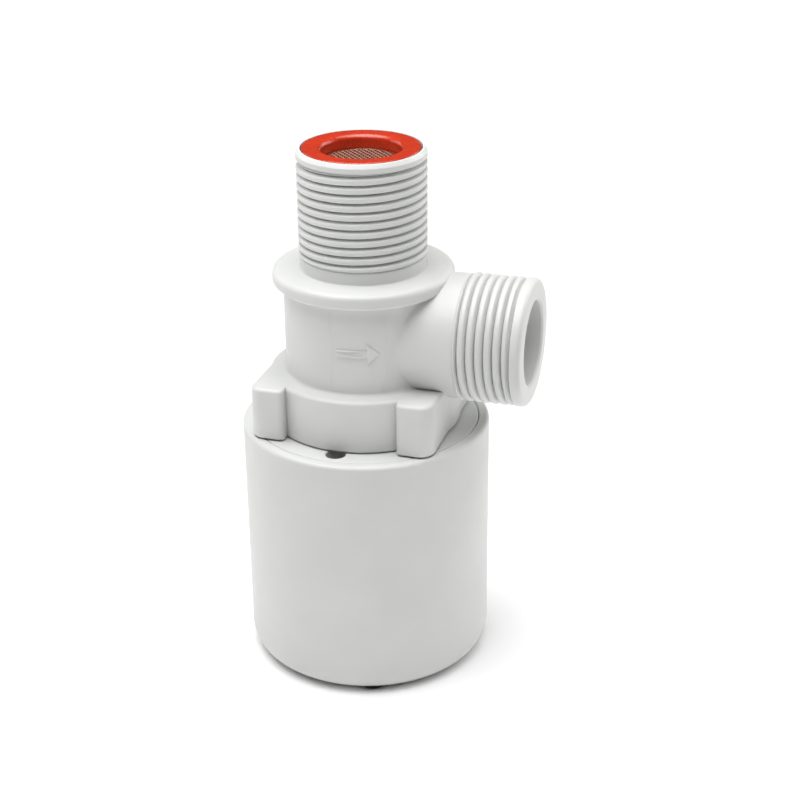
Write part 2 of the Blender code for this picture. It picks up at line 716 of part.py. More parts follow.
def build_spring():
    """Coil between the chamber's floor and the underside of the piston's head."""
    low = CHAMBER_Z + GAP + SPRING_WIRE_R
    high = PISTON_TOP - PISTON_HEAD_T - GAP - SPRING_WIRE_R
    per_turn = 12
    count = int(SPRING_TURNS * per_turn)
    curve = bpy.data.curves.new("piston_spring", "CURVE")
    curve.dimensions = "3D"
    curve.bevel_depth = SPRING_WIRE_R * MM
    curve.bevel_resolution = 1
    curve.use_fill_caps = True
    spline = curve.splines.new("POLY")
    spline.points.add(count)
    for i, point in enumerate(spline.points):
        turn = 2.0 * math.pi * i / per_turn
        height = low + (high - low) * i / count
        point.co = (SPRING_R * math.cos(turn) * MM, SPRING_R * math.sin(turn) * MM, height * MM, 1.0)
    curve.materials.append(steel())
    obj = bpy.data.objects.new("piston_spring", curve)
    bpy.context.scene.collection.objects.link(obj)


def build_lever():
    """Lever in its own frame, hinge at the origin and arm along +X, then hung at its rest slope."""
    half_t = LEVER_T / 2.0
    half_w = LEVER_W / 2.0
    lever = disc("pilot_lever", EAR_R, -half_w, half_w, None, 20)
    along_y(lever)
    arm = box("arm", (0.0, -half_w, -half_t), (LEVER_ARM + LEVER_END, half_w, half_t))
    join(lever, arm)
    pin_hole = disc("lever_pin_hole", HINGE_PIN_R + GAP, -half_w - 1.0, half_w + 1.0, None, 16)
    along_y(pin_hole)
    cut(lever, pin_hole)
    pad_at = NOZZLE_X - HINGE_X
    cut(lever, shift(disc("pad_hole", PAD_STEM_R + GAP, -half_t - 1.0, half_t + 1.0, None, 16), pad_at))
    lever.data.materials.clear()
    lever.data.materials.append(white_plastic())
    lever.location = (HINGE_X * MM, 0.0, HINGE_Z * MM)
    lever.rotation_euler = (0.0, LEVER_DROOP, 0.0)

    under = -half_t - GAP
    over = half_t + GAP
    pad = lathe("pilot_pad", [
        (0, under - PAD_BUTTON_T),
        (PAD_BUTTON_R, under - PAD_BUTTON_T, 0.3),
        (PAD_BUTTON_R, under),
        (PAD_STEM_R, under),
        (PAD_STEM_R, over),
        (PAD_R, over),
        (PAD_R, over + PAD_T, 0.2),
        (0, over + PAD_T),
    ], black_rubber(), False, 20)
    pad.parent = lever
    pad.location = (pad_at * MM, 0.0, 0.0)

    length = LEVER_W / 2.0 + GAP + EAR_T + 0.8
    pin = disc("lever_pin", HINGE_PIN_R, -length, length, steel(), 16)
    along_y(pin)
    pin.location = (HINGE_X * MM, 0.0, HINGE_Z * MM)


def build_float():
    body = lathe("float", [
        (0, FLOAT_Z),
        (FLOAT_R, FLOAT_Z, FLOAT_ROUND),
        (FLOAT_R, FLOAT_TOP, FLOAT_ROUND),
        (0, FLOAT_TOP),
    ], material("white_foam", (0.86, 0.86, 0.84), 0.8), False, 32)
    base_z = FLOAT_TOP + GAP
    half_t = YOKE_T / 2.0
    window_w = LEVER_W / 2.0 + WINDOW_CLEAR
    window_h = LEVER_T / 2.0 + WINDOW_CLEAR
    half_w = window_w + YOKE_LEG
    foot = half_t + YOKE_FOOT
    yoke = box("float_yoke", (YOKE_X - foot, -half_w, base_z), (YOKE_X + foot, half_w, base_z + YOKE_BASE_T))
    post = box(
        "post", (YOKE_X - half_t, -half_w, base_z + YOKE_BASE_T / 2.0),
        (YOKE_X + half_t, half_w, WINDOW_Z + window_h + YOKE_BAR),
    )
    join(yoke, post)
    window = box(
        "window", (YOKE_X - half_t - 1.0, -window_w, WINDOW_Z - window_h),
        (YOKE_X + half_t + 1.0, window_w, WINDOW_Z + window_h),
    )
    cut(yoke, window)
    for name, side in (("yoke_screw_a", -1.0), ("yoke_screw_b", 1.0)):
        x = YOKE_X + side * (half_t + YOKE_FOOT / 2.0)
        cut(yoke, shift(disc("hole", SCREW_R + GAP, base_z - 1.0, base_z + YOKE_BASE_T + 1.0, None, 16), x))
        cut(body, shift(disc("pilot", SCREW_R + GAP, FLOAT_TOP - SCREW_LEN, FLOAT_TOP + 1.0, None, 16), x))
        head = base_z + YOKE_BASE_T + GAP
        screw = lathe(name, [
            (0, FLOAT_TOP - SCREW_LEN + GAP),
            (SCREW_R, FLOAT_TOP - SCREW_LEN + GAP),
            (SCREW_R, head),
            (SCREW_HEAD_R, head),
            (SCREW_HEAD_R, head + SCREW_HEAD_T, 0.4),
            (0, head + SCREW_HEAD_T),
        ], steel(), False, 16)
        shift(screw, x)
    yoke.data.materials.clear()
    yoke.data.materials.append(white_plastic())


def main():
    clear_scene()
    build_valve_body()
    build_strainer()
    build_float_chamber()
    build_lower_cover()
    build_piston()
    build_spring()
    build_lever()
    build_float()


main()
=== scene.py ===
import math

import bmesh
import bpy
import numpy as np
from bpy.props import FloatProperty, PointerProperty, StringProperty
from bpy.types import Operator, Panel, PropertyGroup
from mathutils import Matrix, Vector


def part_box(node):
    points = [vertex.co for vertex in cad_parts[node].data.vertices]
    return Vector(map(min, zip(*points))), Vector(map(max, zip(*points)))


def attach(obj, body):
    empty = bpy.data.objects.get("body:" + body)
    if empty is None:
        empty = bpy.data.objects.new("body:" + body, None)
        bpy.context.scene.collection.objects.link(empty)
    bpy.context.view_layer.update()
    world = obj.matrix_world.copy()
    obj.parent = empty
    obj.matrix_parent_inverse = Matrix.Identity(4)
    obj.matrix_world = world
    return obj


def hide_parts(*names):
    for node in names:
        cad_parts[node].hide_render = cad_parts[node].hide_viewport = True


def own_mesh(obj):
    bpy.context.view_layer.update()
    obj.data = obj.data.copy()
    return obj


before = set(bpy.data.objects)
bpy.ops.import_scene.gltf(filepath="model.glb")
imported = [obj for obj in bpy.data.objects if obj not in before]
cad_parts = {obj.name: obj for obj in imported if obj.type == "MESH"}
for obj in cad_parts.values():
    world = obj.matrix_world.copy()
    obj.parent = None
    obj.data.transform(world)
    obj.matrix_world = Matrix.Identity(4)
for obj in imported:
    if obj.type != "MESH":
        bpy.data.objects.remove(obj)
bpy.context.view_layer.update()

bl_info = {
    "name": "Tank float valve",
    "version": (1, 0, 0),
    "blender": (4, 5, 0),
    "location": "View3D > Sidebar > Float valve",
    "description": "Builds the fine surfaces, finishes and studio of a pilot-operated tank float valve",
    "category": "Object",
}

HOUSING = "housing"
# Lengths are in metres.
CLEAR = 0.0003  # gap between neighbouring pieces
PAST = 0.001  # how far a cutter reaches past the face that it opens
CORE_UNDER = 0.0005  # a thread's root above the plain core that it is joined to
SHARP, CRISP, PLAIN = 0.0001, 0.0002, 0.0003  # rounds of the fine edges
LID_BORE = 0.0168  # opening of the lid and of its gasket


def reach(node):
    """Lowest and highest corner of a CAD node, in metres, as two arrays."""
    low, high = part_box(node)
    return np.array(low), np.array(high)


def span(node):
    """Outside radius, foot and top of a turned CAD node, in metres."""
    low, high = reach(node)
    return (high[0] - low[0]) / 2.0, low[2], high[2]


BODY_LOW, BODY_HIGH = reach("valve_body")
BUCKET_HIGH = reach("float_bucket")[1]
LID_LOW, LID_HIGH = reach("bucket_lid")
FLOAT_LOW = reach("float")[0]
CUP_LOW, CUP_HIGH = reach("inlet_strainer")
CHECK_LOW, CHECK_HIGH = reach("drain_check")
COVER_HIGH = reach("lower_cover")[1]


def size(name, text, value):
    """A length in metres that a user can change."""
    return FloatProperty(name=name, description=text, default=value, min=0.0, unit="LENGTH", precision=5)


def turn(name, text, degrees):
    """An angle, given here in degrees."""
    return FloatProperty(name=name, description=text, default=math.radians(degrees), unit="ROTATION")


def number(name, text, value, **limits):
    """A plain number."""
    return FloatProperty(name=name, description=text, default=value, **limits)


def tone(name, text, value):
    """An sRGB colour as a hex string."""
    return StringProperty(name=name, description=text, default=value)


class ThreadSizes(PropertyGroup):
    major: size("Outside radius", "Radius over the thread's crests", 0.01322)
    depth: size("Depth", "Crest to root", 0.00116)
    pitch: size("Pitch", "Advance in one turn", 0.001814)
    crest: number("Crest share", "Part of the pitch that is flat crest", 0.16)
    power: number("Crest round", "Power that rounds crest into flank", 2.6)
    phase: turn("Inlet start", "Angle at which the inlet thread starts", -109.0)


class BodySizes(PropertyGroup):
    skirt_radius: size("Skirt radius", "Round part of the skirt", 0.0200)
    skirt_wall: size("Skirt wall", "Wall of the skirt round the cover's plug", 0.0032)
    cheek_x: size("Cheek side", "Valve axis to the flat outer side of each cheek", 0.0195)
    cheek_in: size("Cheek inner side", "Valve axis to the inner side of each cheek", 0.0120)
    cheek_y: size("Cheek half length", "Valve axis to the ends of the cheeks, the lugs", 0.0184)
    cheek_corner: size("Cheek corner", "Round of the cheeks' outer upright edges", 0.0030)
    skirt_height: size("Skirt height", "Lid to the top of the skirt", 0.0111)
    barrel_radius: size("Barrel radius", "Round barrel between skirt and collar", 0.0166)
    barrel_wall: size("Barrel wall", "Wall of the barrel", 0.0024)
    barrel_height: size("Barrel height", "Top of the skirt to the collar", 0.0191)
    collar_radius: size("Collar radius", "Round collar under the inlet", 0.0188)
    collar_height: size("Collar height", "Thickness of the collar", 0.0032)
    neck_radius: size("Neck radius", "Plain neck under the inlet thread", 0.0130)
    neck_height: size("Neck height", "Height of the plain neck", 0.0028)
    edge: size("Edge round", "Round on the moulded edges", 0.0009)
    inlet_bore: size("Inlet bore", "Radius of the inlet's bore", 0.0094)
    seat_radius: size("Strainer seat", "Radius of the recess that takes the strainer's flange", 0.0123)
    seat_depth: size("Seat depth", "Depth of the strainer's recess", 0.0013)
    outlet_rise: size("Outlet rise", "Outlet axis above the skirt", 0.0088)
    outlet_neck: size("Outlet neck", "Radius of the outlet's plain neck", 0.0129)
    outlet_start: size("Outlet thread start", "Valve axis to the outlet's thread", 0.0223)
    outlet_band: size("Outlet band", "Plain band at the outlet's end", 0.0021)
    outlet_bore: size("Outlet bore", "Radius of the outlet's bore", 0.0087)
    seat_bore: size("Seat bore", "Radius of the seat's bore", 0.0080)
    seat_tube: size("Seat tube", "Outside radius of the seat tube", 0.0102)
    seat_drop: size("Seat drop", "Seat below the outlet axis", 0.0023)


class MarkSizes(PropertyGroup):
    angle: turn("Angle", "Direction of the flow arrow on the barrel", -77.0)
    length: size("Length", "Length of the flow arrow", 0.0088)
    width: size("Width", "Width of the arrow head", 0.0045)
    relief: size("Relief", "Height of the arrow over the barrel", 0.00028)
    pad_relief: size("Pad relief", "Height of the faint pad round the arrow", 0.00006)


class ChamberSizes(PropertyGroup):
    wall: size("Wall", "Wall of the float chamber", 0.0028)
    floor: size("Floor", "Floor of the float chamber", 0.0022)
    fillet: size("Bottom round", "Round between wall and floor", 0.0050)
    rim: size("Rim", "Width of the rim round the lid", 0.00218)
    rim_round: size("Rim round", "Round of the rim's outer edge", 0.0010)
    gap: size("Gap", "Clearance between lid and chamber", 0.0003)
    spigot: size("Spigot", "Thickness of the ring under the lid", 0.0015)
    hole_radius: size("Hole radius", "Water hole in the lid", 0.0020)
    hole_at: size("Hole place", "Distance of the water hole from the axis", 0.0205)
    hole_angle: turn("Hole angle", "Direction of the water hole", -90.0)
    drain_seat: size("Drain seat", "Underside of the drain's seat", 0.00215)
    drain_boss: size("Drain boss", "Top of the drain's boss", 0.00375)
    drain_hole: size("Drain hole", "Radius of the drain's hole", 0.0017)


class StrainerSizes(PropertyGroup):
    mouth: size("Mouth", "Radius of the flange's mouth", 0.00845)
    bore: size("Bore", "Radius of the cup above the mesh", 0.0080)
    ledge: size("Ledge", "Radius of the cup under the mesh", 0.0069)
    flange: size("Flange", "Thickness of the flange", 0.0011)
    pitch: size("Wire pitch", "Spacing of the mesh's wires", 0.00066)
    wire: size("Wire radius", "Radius of one wire", 0.00013)


class SpringSizes(PropertyGroup):
    wire: size("Wire radius", "Radius of the spring's wire", 0.0005)
    turns: number("Turns", "Turns of the coil", 4.5, min=1.0)
    closing: number("Closing", "How far the end turns close up", 0.45, min=0.0, max=0.9)


class FinishTones(PropertyGroup):
    white: tone("White ABS", "Moulded body and chamber", "#D7D8D6")
    red: tone("Red nylon", "Moulded strainer", "#CB3410")
    rubber: tone("Black rubber", "Seals and drain check", "#17181A")
    steel: tone("Stainless steel", "Spring, pins and screws", "#8E8A85")
    # Mesh steel tone: steel grey with a painted red reflection of the strainer cup mixed into the colour.
    woven: tone("Mesh steel", "Wires of the mesh, which take up the red round them", "#8F6557")
    brass: tone("Brass", "Nozzle and retainer", "#C9A24B")
    foam: tone("White foam", "Float", "#EEEEE8")
    floor: tone("Floor", "Studio floor", "#FFFFFF")


class StudioSettings(PropertyGroup):
    lens: FloatProperty(name="Lens", description="Focal length", default=75.72, unit="CAMERA")
    distance: size("Distance", "Camera to the aim point", 0.35794)
    azimuth: turn("Azimuth", "Camera direction round the valve", 17.0)
    pitch: turn("Pitch", "Camera height above the horizon", 24.706)
    roll: turn("Roll", "Turn of the camera about its own axis", -0.60)
    aside: size("Aside", "Aim point beside the valve axis", 0.007188)
    aim: size("Aim height", "Height of the aim point", 0.0570)
    ambient: number("Ambient", "Strength of the even light from all round", 0.06)
    floor_half: size("Floor", "Half the side of the floor", 6.0)


GROUPS = {
    "valve_thread": ThreadSizes,
    "valve_body": BodySizes,
    "valve_mark": MarkSizes,
    "valve_chamber": ChamberSizes,
    "valve_strainer": StrainerSizes,
    "valve_spring": SpringSizes,
    "valve_tones": FinishTones,
    "valve_studio": StudioSettings,
}

# Each light: name, kind, place in metres as (to the camera's right, towards the camera, up), width, power.
LIGHTS = (
    ("overhead", "SUN", (-0.02, 0.02, 1.0), math.radians(70.0), 2.48),
    ("key", "AREA", (-0.05, 0.03, 0.32), 0.24, 0.50),
    ("left_wall", "AREA", (-2.40, -1.20, 0.60), 2.40, 20.5),
    ("right_wall", "AREA", (2.40, -1.20, 0.60), 2.40, 40.0),
)


# ---- surfaces ----


def rounded(corners, closed=False, steps=6):
    """Outline in (r, z): each corner (r, z, radius) becomes the arc that touches both of its sides."""
    out = []
    last = len(corners) - 1
    for i, corner in enumerate(corners):
        here = np.array(corner[:2], float)
        radius = corner[2] if len(corner) > 2 else 0.0
        if radius <= 0.0 or (not closed and i in (0, last)):
            out.append(here[None, :])
            continue
        back = np.array(corners[i - 1][:2]) - here
        ahead = np.array(corners[(i + 1) % len(corners)][:2]) - here
        to_back, to_ahead = np.linalg.norm(back), np.linalg.norm(ahead)
        back, ahead = back / to_back, ahead / to_ahead
        half = math.acos(np.clip(back @ ahead, -1.0, 1.0)) / 2.0
        cut = min(radius / math.tan(half), 0.49 * min(to_back, to_ahead))
        middle = back + ahead
        centre = here + middle / np.linalg.norm(middle) * cut / math.cos(half)
        start, stop = here + back * cut - centre, here + ahead * cut - centre
        sweep = math.atan2(start[0] * stop[1] - start[1] * stop[0], start @ stop)
        a = np.linspace(0.0, sweep, steps + 1)
        out.append(centre + np.stack([start[0] * np.cos(a) - start[1] * np.sin(a),
                                      start[0] * np.sin(a) + start[1] * np.cos(a)], 1))
    return np.concatenate(out)


def unit(rows):
    """Each row of an array divided by its length."""
    return rows / np.linalg.norm(rows, axis=1, keepdims=True)


def mesh_object(name, verts, faces):
    """Mesh from an (n, 3) array and lists of faces; doubled points are merged and faces turned outwards."""
    mesh = bpy.data.meshes.new(name)
    mesh.from_pydata(verts.tolist(), [], faces)
    bm = bmesh.new()
    bm.from_mesh(mesh)
    bmesh.ops.remove_doubles(bm, verts=bm.verts[:], dist=2e-7)
    bmesh.ops.recalc_face_normals(bm, faces=bm.faces[:])
    bm.to_mesh(mesh)
    bm.free()
    obj = bpy.data.objects.new(name, mesh)
    bpy.context.scene.collection.objects.link(obj)
    return obj


def soften(obj, degrees=35.0):
    """Smooth shading, broken where two faces meet at more than the given angle."""
    obj.data.shade_smooth()
    obj.data.set_sharp_from_angle(angle=math.radians(degrees))
    return obj


def grid_faces(rows, columns, loop=False):
    """Quads of a grid whose columns go all the way round, and whose rows do so too if loop is set."""
    r = np.arange(rows if loop else rows - 1)[:, None]
    c = np.arange(columns)[None, :]
    above, beside = (r + 1) % rows, (c + 1) % columns
    quads = [r * columns + c, r * columns + beside, above * columns + beside, above * columns + c]
    return np.stack(np.broadcast_arrays(*quads), -1).reshape(-1, 4).tolist()


def pole_fans(rows, columns):
    """Triangles from the point before the grid to its first row, and from its last row to the point after."""
    c = np.arange(columns)
    beside = (c + 1) % columns
    first, end = rows * columns, rows * columns + 1
    low = np.stack([np.full(columns, first), beside, c], -1)
    top = (rows - 1) * columns
    high = np.stack([top + c, top + beside, np.full(columns, end)], -1)
    return low.tolist() + high.tolist()


def closed_surface(name, grid, loop=False):
    """Closed skin over a grid (rows, columns, 3); without loop its end rows shrink to their middles."""
    if loop:
        rows, columns = grid.shape[:2]
        return mesh_object(name, grid.reshape(-1, 3), grid_faces(rows, columns, True))
    poles = [grid[0].mean(0), grid[-1].mean(0)]
    inner = grid[1:-1]
    rows, columns = inner.shape[:2]
    verts = np.concatenate([inner.reshape(-1, 3), poles])
    return mesh_object(name, verts, grid_faces(rows, columns) + pole_fans(rows, columns))


def revolve(name, outline, loop=False, columns=160, centre=(0.0, 0.0)):
    """Turned solid: the point (r, z) of the outline goes to (r cos a, r sin a, z) for a round the circle."""
    a = np.linspace(0.0, 2.0 * np.pi, columns, endpoint=False)
    r, z = outline[:, 0:1], outline[:, 1:2]
    grid = np.stack([centre[0] + r * np.cos(a), centre[1] + r * np.sin(a), z + 0.0 * a], -1)
    return closed_surface(name, grid, loop)


def along_x(obj, height):
    """Lays a solid made along +Z down along +X, at the given height."""
    co = points_of(obj)
    put_points(obj, np.stack([co[:, 2], co[:, 1], height - co[:, 0]], -1))
    return obj


def points_of(obj):
    """The points of a mesh as an (n, 3) array."""
    co = np.empty(len(obj.data.vertices) * 3)
    obj.data.vertices.foreach_get("co", co)
    return co.reshape(-1, 3)


def put_points(obj, co):
    """Moves the points of a mesh to the rows of an (n, 3) array."""
    obj.data.vertices.foreach_set("co", co.ravel())
    obj.data.update()


def threaded_rod(name, low, high, thread, phase=0.0, columns=128, rows_per_pitch=14):
    """Rod with a right-hand pipe thread along +Z.

    With w running 0 at a root, 1 at a crest and back over each pitch, and s = w / (1 - crest share), the
    radius is major - depth * (1 - s) ** power, so broad rounded crests stand between narrow grooves. Each
    column of the grid climbs with the helix, so its last column meets the first one a pitch further up.
    """
    m = rows_per_pitch
    pitch = thread.pitch
    rows = m * (math.ceil((high - low) / pitch) + 2) + 1
    k = np.arange(rows)[:, None]
    share = np.arange(columns)[None, :] / columns
    z = low + pitch * (k / m - 1.0 + share)
    wave = 1.0 - np.abs(2.0 * ((k / m) % 1.0) - 1.0)
    rise = 1.0 - (1.0 - np.clip(wave / (1.0 - thread.crest), 0.0, 1.0)) ** thread.power
    fade = np.clip(np.minimum(z - low, high - z) / (0.5 * pitch), 0.0, 1.0)
    r = thread.major - thread.depth * (1.0 - rise * fade)
    z = np.clip(z, low, high)
    a = 2.0 * np.pi * share + phase
    grid = np.stack([r * np.cos(a), r * np.sin(a), z], -1)
    quads = np.arange(rows - 1)[:, None] * columns + np.arange(columns - 1)[None, :]
    faces = np.stack([quads, quads + 1, quads + columns + 1, quads + columns], -1).reshape(-1, 4)
    k = np.arange(rows - 1 - m) * columns
    up = m * columns
    seam = np.stack([k + columns - 1, k + up, k + up + columns, k + 2 * columns - 1], -1)
    verts = np.concatenate([grid.reshape(-1, 3), [[0.0, 0.0, low], [0.0, 0.0, high]]])
    return mesh_object(name, verts, faces.tolist() + seam.tolist() + pole_fans(rows, columns))


def body_core(name, body, thread):
    """Turned core of the body: skirt, barrel, collar, neck, and the plain band round the strainer's seat."""
    z0 = BODY_LOW[2]
    z1 = z0 + body.skirt_height
    z2 = z1 + body.barrel_height
    z3 = z2 + body.collar_height
    z4 = z3 + body.neck_height
    end = BODY_HIGH[2]
    seat = end - body.seat_depth
    core = thread.major - thread.depth - CORE_UNDER
    collar_foot, collar_head, neck_head = 0.0011, 0.0013, 0.0004
    cone_low, cone_high, chamfer_low, chamfer_in = 0.0009, 0.0005, 0.0008, 0.0006
    return revolve(name, rounded([
        (0, z0), (body.skirt_radius, z0, PLAIN), (body.skirt_radius, z1, body.edge),
        (body.barrel_radius, z1, body.edge), (body.barrel_radius, z2, CRISP),
        (body.collar_radius, z2, collar_foot), (body.collar_radius, z3, collar_head),
        (body.neck_radius, z3, PLAIN), (body.neck_radius, z4, neck_head),
        (core, z4), (core, seat - cone_low), (thread.major, seat - cone_high, SHARP),
        (thread.major, end - chamfer_low, PLAIN), (thread.major - chamfer_in, end, CRISP), (0, end),
    ]), columns=320)


def cheek(name, body, side):
    """Flat-sided bar beside the skirt whose ends stand out at the front and the back as lugs.

    Rings of its rounded outline stand on each other; over the top edge the ring is drawn in by
    e (1 - cos t) while it climbs by e sin t, and the last ring is closed by a fan to its middle.
    """
    low = BODY_LOW[2]
    top = low + body.skirt_height
    bevel, inner_corner = 0.0003, 0.0012
    rings = [(low, bevel), (low + bevel, 0.0)]
    rings += [(top - body.edge * (1.0 - math.sin(t)), body.edge * (1.0 - math.cos(t)))
              for t in np.linspace(0.0, math.pi / 2.0, 9)]
    layers = []
    for z, inset in rings:
        x0, x1, y = body.cheek_in + 0.25 * inset, body.cheek_x - inset, body.cheek_y - inset
        corner = body.cheek_corner - inset
        flat = rounded([(x0, -y, inner_corner), (x1, -y, corner), (x1, y, corner), (x0, y, inner_corner)],
                       True, 12)
        layers.append(np.column_stack([side * flat[:, 0], flat[:, 1], np.full(len(flat), z)]))
    first, last = layers[0].copy(), layers[-1].copy()
    first[:, :2] = last[:, :2] = (side * (body.cheek_in + body.cheek_x) / 2.0, 0.0)
    return closed_surface(name, np.stack([first, *layers, last]))


def branch_skin(name, body, thread, height):
    """Side outlet as a skin round the +X axis.

    Its foot follows the barrel: at angle a round the outlet the barrel lies at x0 = sqrt(R^2 - (r cos a)^2),
    and the radius grows there by a quarter-circle fillet. From the neck on the outline is turned.
    """
    fillet, buried, straight, end_round, neck_end, cone = 0.0004, 0.0012, 0.019, 0.0011, 0.0004, 0.0004
    a = np.linspace(0.0, 2.0 * np.pi, 192, endpoint=False)[None, :]
    t = np.linspace(0.0, 1.0, 9)[:, None]
    swell = fillet * (1.0 - np.sqrt(1.0 - (1.0 - t) ** 2))
    r_foot = body.outlet_neck + np.concatenate([[[fillet]], swell])
    step = np.concatenate([[[-buried]], fillet * t])
    foot = np.sqrt(body.barrel_radius ** 2 - (r_foot * np.cos(a)) ** 2) + step
    end = BODY_HIGH[0]
    start = body.outlet_start
    core = thread.major - thread.depth - CORE_UNDER
    turned = rounded([
        (body.outlet_neck, straight), (body.outlet_neck, start, neck_end), (core, start),
        (core, end - body.outlet_band - cone), (thread.major, end - body.outlet_band, CRISP),
        (thread.major, end, end_round), (0.0, end),
    ], steps=5)
    x = np.concatenate([0.0 * a, foot, turned[:, 1:2] + 0.0 * a])
    r = np.concatenate([0.0 * a, r_foot + 0.0 * a, turned[:, 0:1] + 0.0 * a])
    return closed_surface(name, np.stack([x, r * np.cos(a), height + r * np.sin(a)], -1))


def tube(path, radius, sides=6):
    """Verts and faces of a round wire: circles of one radius stand across the path, with closed ends."""
    along = unit(np.gradient(path, axis=0))
    flat = unit(np.cross(along, [0.0, 0.0, 1.0]))
    upward = np.cross(flat, along)
    a = np.linspace(0.0, 2.0 * np.pi, sides, endpoint=False)[None, :, None]
    grid = path[:, None, :] + radius * (np.cos(a) * flat[:, None, :] + np.sin(a) * upward[:, None, :])
    rows = len(path)
    verts = np.concatenate([grid.reshape(-1, 3), path[:1], path[-1:]])
    return verts, grid_faces(rows, sides) + pole_fans(rows, sides)


def boolean(target, tool, operation):
    """Joins or cuts two closed skins and keeps the result as the target's mesh."""
    modifier = target.modifiers.new(operation, "BOOLEAN")
    modifier.operation = operation
    modifier.solver = "MANIFOLD"
    modifier.object = tool
    graph = bpy.context.evaluated_depsgraph_get()
    mesh = bpy.data.meshes.new_from_object(target.evaluated_get(graph))
    if len(mesh.polygons) == 0:
        raise RuntimeError(f"{target.name}: {operation} with {tool.name} left nothing")
    target.modifiers.clear()
    target.data = mesh
    bpy.data.objects.remove(tool, do_unlink=True)
    return target


def round_bar(name, radius, low, high, x=0.0, y=0.0, columns=64):
    """Plain round bar, used to join or to cut."""
    outline = np.array([(0.0, low), (radius, low), (radius, high), (0.0, high)])
    return revolve(name, outline, columns=columns, centre=(x, y))


def publish(obj, node, body, made):
    """Hands a finished piece over: its finish, the CAD node it stands for and its body."""
    obj.data.materials.clear()
    obj.data.materials.append(made)
    if node:
        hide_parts(node)
    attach(obj, body)
    return obj


# ---- finishes ----


def linear(value):
    """Linear RGBA from an sRGB hex string."""
    srgb = [int(value[i:i + 2], 16) / 255.0 for i in (1, 3, 5)]
    return (*(c / 12.92 if c <= 0.04045 else ((c + 0.055) / 1.055) ** 2.4 for c in srgb), 1.0)


def add(tree, kind, values=None, links=None, **settings):
    """Adds one node: its settings, its socket values, and links as socket: (node, output)."""
    made = tree.nodes.new(kind)
    for key, value in settings.items():
        setattr(made, key, value)
    for key, value in (values or {}).items():
        made.inputs[key].default_value = value
    for key, (source, output) in (links or {}).items():
        tree.links.new(source.outputs[output], made.inputs[key])
    return made


def per_metre(millimetres):
    """Noise scale for features of that size, on Object coordinates in metres."""
    return 1000.0 / millimetres


def shaded(hex_tone, drift):
    """The tone made darker by a share, for the other end of a slow colour change."""
    r, g, b, a = linear(hex_tone)
    return (r * (1.0 - drift), g * (1.0 - drift), b * (1.0 - drift), a)


def finish(name, key, roughness, spread, grain_mm, bump_mm, drift, patch_mm=14.0, metallic=0.0,
           ior=1.5, coat=0.0):
    """Procedural finish: slow colour drift, uneven gloss and a fine grain, each at a size in millimetres."""
    mat = bpy.data.materials.get(name)
    if mat:
        return mat
    hex_tone = getattr(bpy.context.scene.valve_tones, key)
    mat = bpy.data.materials.new(name)
    mat.use_nodes = True
    tree = mat.node_tree
    shader = tree.nodes["Principled BSDF"]
    shader.inputs["Metallic"].default_value = metallic
    if metallic < 0.5:
        shader.inputs["IOR"].default_value = ior
    if coat > 0.0:
        shader.inputs["Coat Weight"].default_value = coat
        shader.inputs["Coat Roughness"].default_value = 0.12
    place = add(tree, "ShaderNodeTexCoord")
    patches = add(tree, "ShaderNodeTexNoise", {
        "Scale": per_metre(patch_mm), "Detail": 3.0, "Roughness": 0.55,
    }, {"Vector": (place, "Object")})
    colour = add(tree, "ShaderNodeValToRGB", None, {"Fac": (patches, "Fac")})
    colour.color_ramp.elements[0].position = 0.35
    colour.color_ramp.elements[0].color = shaded(hex_tone, drift)
    colour.color_ramp.elements[1].position = 0.65
    colour.color_ramp.elements[1].color = linear(hex_tone)
    gloss_mm = patch_mm * 0.3
    gloss_noise = add(tree, "ShaderNodeTexNoise", {"Scale": per_metre(gloss_mm), "Detail": 4.0},
                      {"Vector": (place, "Object")})
    gloss = add(tree, "ShaderNodeMapRange", {
        "From Min": 0.3, "From Max": 0.7, "To Min": roughness - spread, "To Max": roughness + spread,
    }, {"Value": (gloss_noise, "Fac")})
    grain = add(tree, "ShaderNodeTexNoise", {"Scale": per_metre(grain_mm), "Detail": 2.0},
                {"Vector": (place, "Object")})
    bump = add(tree, "ShaderNodeBump", {"Strength": 1.0, "Distance": bump_mm / 1000.0},
               {"Height": (grain, "Fac")})
    tree.links.new(colour.outputs["Color"], shader.inputs["Base Color"])
    tree.links.new(gloss.outputs["Result"], shader.inputs["Roughness"])
    tree.links.new(bump.outputs["Normal"], shader.inputs["Normal"])
    return mat


def white_abs():
    """Injection-moulded ABS: satin gloss from the tool's polish, very slight sink and flow marks."""
    return finish("moulded_white_abs", "white", roughness=0.42, spread=0.05, grain_mm=2.4, bump_mm=0.010,
                  drift=0.035, ior=1.53)


def red_nylon():
    """Injection-moulded nylon: deep colour, glossier than the body, with faint flow lines."""
    return finish("moulded_red_nylon", "red", roughness=0.27, spread=0.07, grain_mm=1.2, bump_mm=0.010,
                  drift=0.14, patch_mm=5.0, ior=1.53, coat=0.35)


def black_rubber():
    """Press-moulded EPDM: matte with a fine grain and a slight bloom."""
    return finish("moulded_black_rubber", "rubber", roughness=0.62, spread=0.10, grain_mm=0.5,
                  bump_mm=0.015, drift=0.35, patch_mm=3.0, ior=1.52)


def drawn_steel():
    """Drawn stainless wire: bright, with small uneven spots where it was pickled."""
    return finish("drawn_stainless_steel", "steel", roughness=0.32, spread=0.10, grain_mm=0.3,
                  bump_mm=0.004, drift=0.20, patch_mm=1.5, metallic=1.0)


def woven_steel():
    """Fine stainless mesh: duller than drawn wire, and warm from a painted red reflection of the red cup
    wall, mixed into its steel tone.
    """
    return finish("woven_stainless_steel", "woven", roughness=0.42, spread=0.10, grain_mm=0.3,
                  bump_mm=0.004, drift=0.20, patch_mm=1.5, metallic=1.0)


